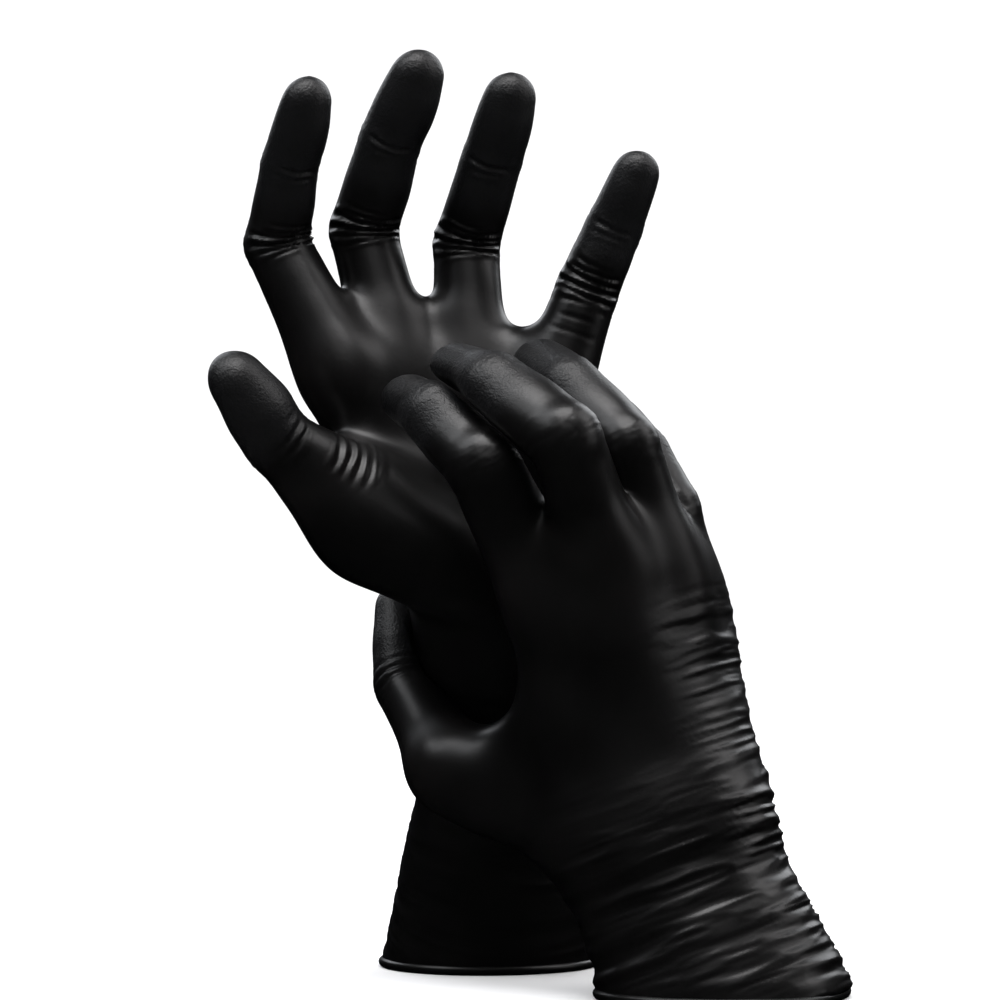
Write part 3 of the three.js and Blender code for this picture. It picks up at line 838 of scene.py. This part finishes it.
def push_off(other, verts):
    """Move the points that easing brought too near the other glove back out."""
    for _ in range(3):
        value = glove_field(other, verts)
        close = value < .45
        if not close.any():
            break
        rise = field_rise(lambda points: glove_field(other, points), verts[close], value[close])
        rise /= np.linalg.norm(rise, axis=1, keepdims=True) + 1e-6
        verts[close] += rise * (.47 - value[close])[:, None]


def make_skin(side, glove, step, other=None):
    base, quads = smooth_surface(glove, step, other)
    normals = vertex_normals(base, quads)
    fields = digit_fields(glove, base)
    palm = palm_field(glove, base)
    nearest = fields.argmin(0)
    height, distance = digit_relief(glove, fields, nearest, base)
    height += hand_relief(glove, base, palm)
    # long shallow unevenness everywhere, and calmer relief near the lower edge
    height += (noise3(base * .09) - .5) * .35
    height = height * (.25 + .75 * smooth_step((base[:, 2] - CUFF_END) / 6))
    outer = base + normals * height[:, None]
    inner = base - normals * (FILM_DEPTH + np.clip(-height, 0, 1.2) * .6)[:, None]
    piece, weight = assign_pieces(glove, base, fields, palm)
    grain = grain_mask(glove, base, fields, palm, nearest, distance)
    stretch = smooth_step((6 - np.abs(fields.min(0) - palm)) / 12) * .6 * (1 - grain)
    return SimpleNamespace(
        side=side, outer=outer, inner=inner, quads=quads, normals=vertex_normals(outer, quads),
        piece=piece, weight=weight, grain=grain, stretch=stretch)


def grain_mask(glove, base, fields, palm, nearest, distance):
    """Where the film has the sandblasted grain: the outer parts of the digits."""
    grain = np.zeros(len(base))
    for k, digit in enumerate(DIGITS):
        mine = nearest == k
        first, second = (rod.length for rod in glove.rods[digit][:2])
        if digit == "thumb":
            start, full = first - 2, first + 6
        else:
            start, full = first + second * .35, first + second * .75
        ragged = 3.0 * (noise3(base[mine] * .35) - .5)
        value = smooth_step((distance[mine] + ragged - start) / (full - start))
        grain[mine] = value * ((palm[mine] - fields[k][mine]) > 2)
    return grain


# ---------------------------------------------------------------- materials
def new_material(name):
    material = bpy.data.materials.new(name)
    material.use_nodes = True
    nodes, links = material.node_tree.nodes, material.node_tree.links
    nodes.clear()
    output = nodes.new("ShaderNodeOutputMaterial")
    surface = nodes.new("ShaderNodeBsdfPrincipled")
    links.new(surface.outputs[0], output.inputs[0])
    return material, nodes, links, surface


def set_inputs(node, values):
    for name, value in values.items():
        node.inputs[name].default_value = value


def film_material(name, tint=1.0):
    """Black nitrile: satin, with a sandblasted grain where the attribute asks for it."""
    material, nodes, links, surface = new_material(name)
    coords = nodes.new("ShaderNodeTexCoord")

    def attribute(key):
        node = nodes.new("ShaderNodeAttribute")
        node.attribute_name = key
        return node.outputs["Fac"]

    def noise(scale, detail, roughness=0.5):
        node = nodes.new("ShaderNodeTexNoise")
        set_inputs(node, {"Scale": scale, "Detail": detail, "Roughness": roughness})
        links.new(coords.outputs["Object"], node.inputs["Vector"])
        return node.outputs["Fac"]

    def feed(value, socket):
        if isinstance(value, (int, float)):
            socket.default_value = value
        else:
            links.new(value, socket)

    def calculate(operation, first, second):
        node = nodes.new("ShaderNodeMath")
        node.operation = operation
        feed(first, node.inputs[0])
        feed(second, node.inputs[1])
        return node.outputs[0]

    def between(factor, low, high):
        node = nodes.new("ShaderNodeMapRange")
        links.new(factor, node.inputs["Value"])
        feed(low, node.inputs["To Min"])
        feed(high, node.inputs["To Max"])
        return node.outputs[0]

    def mix_colour(factor, under, over):
        node = nodes.new("ShaderNodeMix")
        node.data_type = "RGBA"
        links.new(factor, node.inputs["Factor"])
        links.new(under, node.inputs["A"])
        node.inputs["B"].default_value = over
        return node.outputs["Result"]

    def bump(height, distance):
        node = nodes.new("ShaderNodeBump")
        node.inputs["Distance"].default_value = distance
        links.new(height, node.inputs["Height"])
        return node

    grain = attribute("grain")
    stretch = attribute("stretch")
    cloud = noise(scale=38, detail=3)
    fine = noise(scale=900, detail=2, roughness=0.6)
    sand = noise(scale=1500, detail=1)
    pits = noise(scale=900, detail=3, roughness=0.65)
    # colour: a touch warmer where the film is stretched thin, cooler on the grain
    ramp = nodes.new("ShaderNodeValToRGB")
    for element, position, colour in zip(
            ramp.color_ramp.elements, (0.3, 0.75),
            ((0.0012, 0.0011, 0.0012), (0.0024, 0.0021, 0.0023))):
        element.position = position
        element.color = tuple(c * tint for c in colour) + (1,)
    links.new(cloud, ramp.inputs[0])
    colour = mix_colour(grain, ramp.outputs[0], over=(0.0030, 0.0031, 0.0038, 1))
    colour = mix_colour(stretch, colour, over=(0.0060, 0.0046, 0.0046, 1))
    links.new(colour, surface.inputs["Base Color"])
    # roughness: cloudy and finely uneven, even and rougher on the grain
    cloudy = between(cloud, low=0.32, high=0.40)
    uneven = calculate("MULTIPLY", calculate("SUBTRACT", fine, 0.5), 0.10)
    smooth_part = calculate("ADD", cloudy, uneven)
    links.new(between(grain, low=smooth_part, high=0.43), surface.inputs["Roughness"])
    set_inputs(surface, {
        "IOR": 1.5, "Specular IOR Level": 0.5, "Sheen Weight": 0.0, "Sheen Roughness": 0.45,
        "Sheen Tint": (0.85, 0.9, 1.0, 1)})
    # relief too fine for the mesh, distances in metres
    skin_bump = bump(fine, distance=0.00006)
    skin_bump.inputs["Strength"].default_value = 0.35
    height = calculate("ADD", calculate("MULTIPLY", sand, 0.5), calculate("MULTIPLY", pits, 0.8))
    grain_bump = bump(height, distance=0.00024)
    links.new(calculate("MULTIPLY", grain, 0.9), grain_bump.inputs["Strength"])
    links.new(skin_bump.outputs[0], grain_bump.inputs["Normal"])
    links.new(grain_bump.outputs[0], surface.inputs["Normal"])
    return material


def paper_material(name, colour, roughness):
    material, nodes, links, surface = new_material(name)
    noise = nodes.new("ShaderNodeTexNoise")
    noise.inputs["Scale"].default_value = 14
    ramp = nodes.new("ShaderNodeValToRGB")
    ramp.color_ramp.elements[0].color = tuple(c * .985 for c in colour) + (1,)
    ramp.color_ramp.elements[1].color = tuple(colour) + (1,)
    links.new(noise.outputs["Fac"], ramp.inputs[0])
    links.new(ramp.outputs[0], surface.inputs["Base Color"])
    set_inputs(surface, {"Roughness": roughness, "Specular IOR Level": 0.1})
    return material


FILM = film_material("nitrile_film")
FILM_TIP = film_material("nitrile_film_grain", tint=1.1)


# ---------------------------------------------------------------- the pieces
# steps out from the hand, by the last word of a piece's name
RANKS = {"hand": 0, "cuff": 1, "proximal": 1, "middle": 2, "tip": 3}


def add_object(name, verts, faces, normals, grain, stretch, material):
    mesh = bpy.data.meshes.new(name)
    mesh.vertices.add(len(verts))
    mesh.vertices.foreach_set("co", (verts / 1000.0).astype(np.float32).ravel())
    count = len(faces)
    mesh.loops.add(count * 4)
    mesh.loops.foreach_set("vertex_index", faces.astype(np.int32).ravel())
    mesh.polygons.add(count)
    mesh.polygons.foreach_set("loop_start", np.arange(0, count * 4, 4, dtype=np.int32))
    mesh.update(calc_edges=True)
    mesh.validate()
    mesh.polygons.foreach_set("use_smooth", np.ones(len(mesh.polygons), bool))
    for key, values in (("grain", grain), ("stretch", stretch)):
        attribute = mesh.attributes.new(key, "FLOAT", "POINT")
        attribute.data.foreach_set("value", values.astype(np.float32))
    # validate may drop a bad face, and then the normals no longer match the corners
    if normals is not None and len(mesh.loops) == len(normals):
        mesh.normals_split_custom_set(normals.astype(np.float32).tolist())
    obj = bpy.data.objects.new(name, mesh)
    bpy.context.scene.collection.objects.link(obj)
    mesh.materials.append(material)
    return obj


def film_object(skin, name, quads, used):
    """One part of the film: outside, inside and the strip that joins them at the rim."""
    new_index = -np.ones(len(skin.outer), np.int64)
    new_index[used] = np.arange(len(used))
    outside = new_index[quads]
    inside = outside[:, ::-1]
    count = len(used)
    rim = rim_edges(outside, count)
    start, end = rim[:, 0], rim[:, 1]
    faces = np.vstack([outside, inside + count,
                       np.stack([end, start, start + count, end + count], 1)])
    verts = np.vstack([skin.outer[used], skin.inner[used]]) + SHIFT
    strip = np.cross(verts[start] - verts[end], verts[end + count] - verts[end])
    strip /= np.linalg.norm(strip, axis=1, keepdims=True) + 1e-9
    normals = skin.normals[used]
    corner_normals = np.vstack([normals[outside.ravel()], -normals[inside.ravel()],
                                np.repeat(strip, 4, axis=0)])
    return add_object(f"{skin.side}_{name}_film", verts, faces, corner_normals,
                      np.tile(skin.grain[used], 2), np.tile(skin.stretch[used], 2),
                      FILM_TIP if name.endswith("_tip") else FILM)


def part_film(skin):
    """Part the film at its knuckles: piece name -> (object, weight of its outer body)."""
    names = sorted(set(skin.piece))
    label = np.array([names.index(piece) for piece in skin.piece])
    rank = np.array([RANKS[name.split("_")[-1]] for name in names])
    # a face belongs to the farthest-out piece any of its corners is in
    corners = label[skin.quads]
    owner = corners[np.arange(len(corners)), rank[corners].argmax(1)]
    touches = np.zeros((len(names), len(label)), bool)
    for i in range(len(names)):
        touches[i, skin.quads[owner == i].ravel()] = True
    pieces = {}
    for i, name in enumerate(names):
        quads = skin.quads[owner == i]
        if not len(quads):
            continue
        used = np.unique(quads)
        obj = film_object(skin, name, quads, used)
        if name == "hand":
            pieces[name] = (obj, None)
            continue
        weight = np.where(label[used] == i, skin.weight[used],
                          np.where(rank[label[used]] > rank[i], 1.0, 0.0))
        # points shared with another piece are weighted wholly to the body between the two
        for k in range(len(names)):
            if k != i:
                weight = np.where(touches[k, used], 1.0 if rank[k] > rank[i] else 0.0, weight)
        pieces[name] = (obj, np.tile(weight, 2))
    return pieces


def place_pieces(side, pieces):
    hand = side + "_hand"
    for name, (obj, weight) in pieces.items():
        if name == "hand":
            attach(obj, hand)
            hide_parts(side + "_hand_body")
        else:
            body = f"{side}_{name}"
            if name != "cuff":
                digit, part = name.split("_")
                chain = ["hand", "proximal", "middle", "tip"]
                if digit == "thumb":
                    chain.remove("middle")
                previous = chain[chain.index(part) - 1]
            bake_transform(obj)
            weight.astype(np.float32)
            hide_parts(body)


# ---------------------------------------------------------------- the rolled edge of the cuff
BEAD_RADIUS = 1.42
BEAD_INSET = 0.35           # from the outline of the cuff in to the middle of the roll
BEAD_STEPS = 360            # along the outline
BEAD_SIDES = 14             # round the roll
BEAD_SEED = {"left": 3, "right": 9}   # where each roll reads the noise


def cuff_outline(skin):
    """Smoothed outline of the lower edge of the film, in order."""
    rim = rim_edges(skin.quads, len(skin.outer))
    following = dict(zip(rim[:, 0].tolist(), rim[:, 1].tolist()))
    start = int(rim[skin.outer[rim[:, 0], 2].argmin(), 0])
    loop, at = [start], following[start]
    while at != start and len(loop) < 100000:
        loop.append(at)
        at = following[at]
    outline = skin.outer[loop][:, :2]
    for _ in range(12):
        outline = (np.roll(outline, 1, 0) + 2 * outline + np.roll(outline, -1, 0)) / 4
    return outline


def add_bead(side, skin):
    outline = cuff_outline(skin)
    lengths = np.linalg.norm(np.roll(outline, -1, 0) - outline, axis=1)
    passed = np.concatenate([[0], np.cumsum(lengths)])
    place = np.linspace(0, passed[-1], BEAD_STEPS, endpoint=False)
    centre = np.stack([np.interp(place, passed, np.append(outline[:, i], outline[0, i]))
                       for i in (0, 1)], 1)
    tangent = np.roll(centre, -2, 0) - np.roll(centre, 2, 0)
    tangent /= np.linalg.norm(tangent, axis=1, keepdims=True)
    outward = np.stack([tangent[:, 1], -tangent[:, 0]], 1)
    if (outward * (centre - centre.mean(0))).sum() < 0:
        outward = -outward
    wander = noise3(np.stack([place * .16, place * 0 + BEAD_SEED[side], place * 0], 1))
    radius = (BEAD_RADIUS + 0.10 * (wander - .5))[:, None]
    angle = np.linspace(0, 2 * np.pi, BEAD_SIDES, endpoint=False)[None]
    points = np.zeros((BEAD_STEPS, BEAD_SIDES, 3))
    reach = -BEAD_INSET + np.cos(angle) * radius
    points[..., :2] = centre[:, None] + outward[:, None] * reach[..., None]
    points[..., 2] = np.maximum(BEAD_RADIUS + np.sin(angle) * radius, 0.0)
    verts = points.reshape(-1, 3) + SHIFT * [1, 1, 0]
    i, j = np.meshgrid(np.arange(BEAD_STEPS), np.arange(BEAD_SIDES), indexing="ij")
    ring, next_ring = i * BEAD_SIDES, ((i + 1) % BEAD_STEPS) * BEAD_SIDES
    next_j = (j + 1) % BEAD_SIDES
    faces = np.stack([ring + j, next_ring + j, next_ring + next_j, ring + next_j], -1)
    faces = faces.reshape(-1, 4)
    # turn the faces to look out of the roll
    face_normals = np.cross(verts[faces[:, 2]] - verts[faces[:, 0]],
                            verts[faces[:, 3]] - verts[faces[:, 1]])
    step = faces[:, 0] // BEAD_SIDES
    middle = np.concatenate([centre[step] - outward[step] * BEAD_INSET + SHIFT[:2],
                             np.full((len(faces), 1), BEAD_RADIUS)], 1)
    if (face_normals * (verts[faces].mean(1) - middle)).sum() < 0:
        faces = faces[:, ::-1]
    blank = np.zeros(len(verts))
    obj = add_object(f"{side}_rolled_bead", verts, faces, None, blank, blank, FILM)
    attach(obj, side + "_cuff")
    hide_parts(side + "_bead")


left = build_glove("left")
right = build_glove("right")
skins = {"left": make_skin("left", left, CELL),
         "right": make_skin("right", right, CELL, other=left)}
for side, skin in skins.items():
    place_pieces(side, part_film(skin))
    add_bead(side, skin)

# ---------------------------------------------------------------- stage, in metres
scene = bpy.context.scene


def add_sweep():
    """A floor that turns up into a backdrop behind the gloves, hidden from reflections."""
    half_width, front, bend_start, bend_radius, top = 7.0, -6.0, 1.6, 1.2, 7.0
    profile = [(front, 0.0), (bend_start, 0.0)]
    profile += [(bend_start + bend_radius * math.sin(a), bend_radius - bend_radius * math.cos(a))
                for a in np.radians(np.arange(6, 91, 6))]
    profile.append((bend_start + bend_radius, top))
    points = [(x, y, z) for y, z in profile for x in (-half_width, half_width)]
    faces = [(2 * i, 2 * i + 1, 2 * i + 3, 2 * i + 2) for i in range(len(profile) - 1)]
    mesh = bpy.data.meshes.new("sweep")
    mesh.from_pydata(points, [], faces)
    mesh.materials.append(paper_material("pale_paper", colour=(0.93, 0.93, 0.935),
                                         roughness=0.85))
    for polygon in mesh.polygons:
        polygon.use_smooth = True
    sweep = bpy.data.objects.new("sweep", mesh)
    scene.collection.objects.link(sweep)
    sweep.visible_glossy = False


# name, place, side of the square, watts, colour
LAMPS = [
    ("key_overhead", (0.05, -0.34, 1.60), 0.95, 17, (1.0, 0.985, 0.99)),
    ("key_left_high", (-0.80, -0.28, 1.40), 0.9, 7.5, (0.96, 0.975, 1.0)),
    ("key_right_high", (1.10, 0.02, 1.16), 0.8, 4.5, (1.0, 0.98, 0.985)),
    ("fill_front", (0.15, -1.2, 1.15), 0.8, 0.9, (1.0, 0.98, 0.99)),
    ("rim_back_left", (-0.66, 1.12, 0.92), 0.8, 5, (0.92, 0.95, 1.0)),
    ("rim_back_right", (0.75, 1.15, 0.95), 0.9, 7, (0.95, 0.97, 1.0)),
    ("side_right", (1.55, -0.10, 0.55), 0.8, 1.6, (1.0, 0.985, 0.99)),
]
LAMP_AIM = (0.0, 0.0, 0.15)


def add_lamp(name, place, size, watts, colour):
    light = bpy.data.lights.new(name, "AREA")
    light.shape = "RECTANGLE"
    light.size = light.size_y = size
    light.energy = watts
    light.color = colour
    lamp = bpy.data.objects.new(name, light)
    scene.collection.objects.link(lamp)
    lamp.location = place
    lamp.rotation_mode = "QUATERNION"
    lamp.rotation_quaternion = (Vector(LAMP_AIM) - Vector(place)).to_track_quat("-Z", "Y")


def add_world():
    """A white room that does not show in reflections."""
    world = bpy.data.worlds.new("studio")
    scene.world = world
    world.use_nodes = True
    nodes = world.node_tree.nodes
    nodes.clear()
    output = nodes.new("ShaderNodeOutputWorld")
    background = nodes.new("ShaderNodeBackground")
    set_inputs(background, {"Color": (1, 1, 1, 1), "Strength": 1.0})
    world.node_tree.links.new(background.outputs[0], output.inputs[0])
    world.cycles_visibility.glossy = False


def add_camera():
    """Level with the hands, square to them, far off with a long lens."""
    distance, height = 1.3, 0.1391304
    data = bpy.data.cameras.new("camera")
    camera = bpy.data.objects.new("camera", data)
    scene.collection.objects.link(camera)
    scene.camera = camera
    data.sensor_width = 36.0
    data.lens = 161.46
    data.clip_start, data.clip_end = 0.05, 30
    camera.location = (SHIFT[0] / 1000.0, SHIFT[1] / 1000.0 - distance, height)
    camera.rotation_euler = (math.radians(90), 0, 0)


add_sweep()
for row in LAMPS:
    add_lamp(*row)
add_world()
scene.view_settings.view_transform = "Standard"
add_camera()
